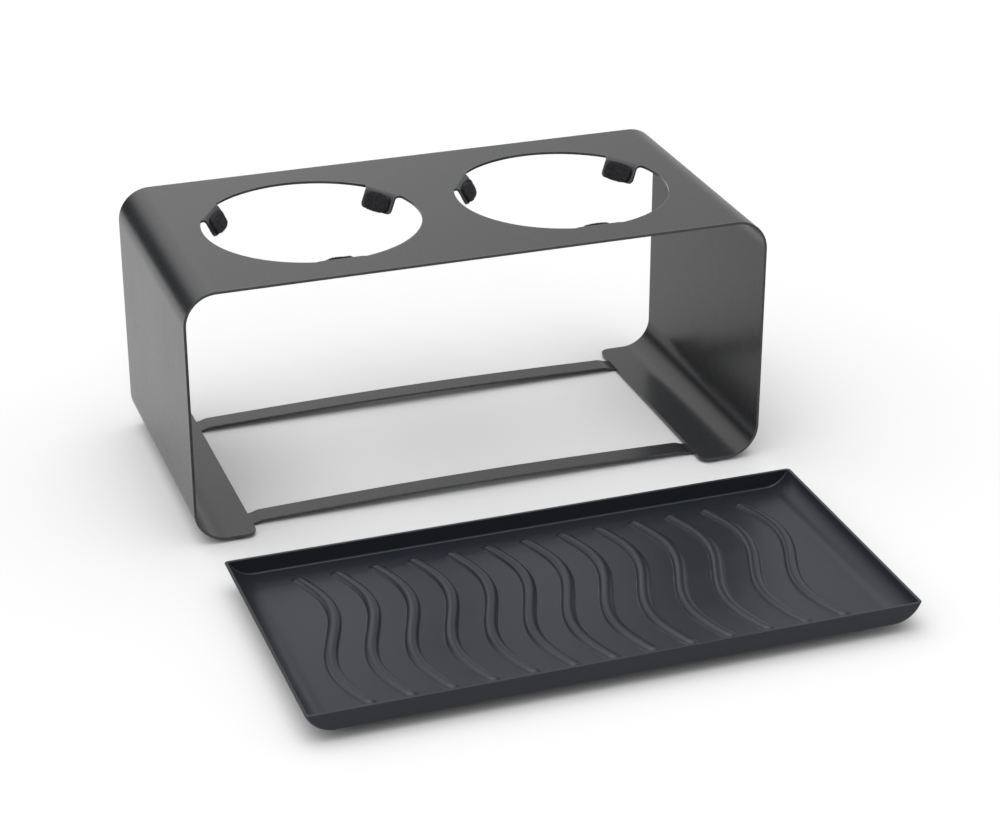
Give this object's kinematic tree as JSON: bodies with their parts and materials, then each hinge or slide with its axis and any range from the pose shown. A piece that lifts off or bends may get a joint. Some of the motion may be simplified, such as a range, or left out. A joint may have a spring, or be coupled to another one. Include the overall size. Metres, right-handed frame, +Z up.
{
  "type": "raised bowl stand with drip tray",
  "caption": "Bent sheet stand with round padded openings in its top plate, straps between its feet, and a ribbed drip tray that slides in between its legs.",
  "frame": {"origin": "on the floor, in the middle of the ground covered by the stand and the drawn-out tray", "axes": "+X along the stand, left to right seen from the front; +Y from the drawn-out tray in front to the stand behind it; +Z up"},
  "size_m": [0.45, 0.503, 0.2008],
  "materials": {
    "powder_coat": "fine satin powder coat, near black",
    "moulded_tray": "satin moulded plastic, blue-black",
    "felt": "short black felt",
    "rubber": "matte black rubber"
  },
  "bodies": {
    "stand": {"stand_sheet": "powder_coat", "front_strap": "powder_coat", "back_strap": "powder_coat", "left_bowl_pad_front": "felt", "left_bowl_pad_right": "felt", "left_bowl_pad_left": "felt", "right_bowl_pad_front": "felt", "right_bowl_pad_right": "felt", "right_bowl_pad_left": "felt", "foot_pad_front_left": "rubber", "foot_pad_back_left": "rubber", "foot_pad_front_right": "rubber", "foot_pad_back_right": "rubber"},
    "tray": {"drip_tray": "moulded_tray"}
  },
  "joints": [
    {"name": "tray_slide", "type": "slide", "parent": "stand", "child": "tray", "axis": [0, 1, 0], "range_m": [0, 0.285]}
  ]
}
